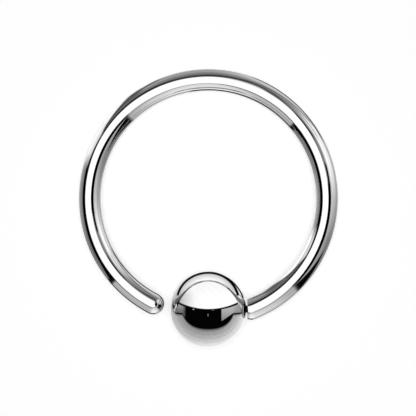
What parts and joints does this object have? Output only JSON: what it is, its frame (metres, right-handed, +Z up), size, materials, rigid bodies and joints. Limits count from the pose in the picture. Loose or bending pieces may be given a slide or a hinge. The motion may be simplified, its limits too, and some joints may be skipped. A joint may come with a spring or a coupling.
{
  "type": "captive bead ring",
  "caption": "Round wire bent into an open hoop, with a round bead fixed on one end that closes the opening, lying on its side.",
  "frame": {"origin": "on the surface that the ring lies on, below the middle of its bounding box", "axes": "+Z up, +X towards the wire end that the bead is fixed on, -Y towards the bead"},
  "size_m": [0.0144, 0.0154, 0.0042],
  "materials": {
    "wire_steel": "drawn surgical steel wire, tumbled and buffed to a mirror, with faint lines along it",
    "bead_steel": "surgical steel ball, lapped to a clean mirror"
  },
  "bodies": {
    "root": {"ring_wire": "wire_steel", "bead": "bead_steel"}
  },
  "joints": []
}
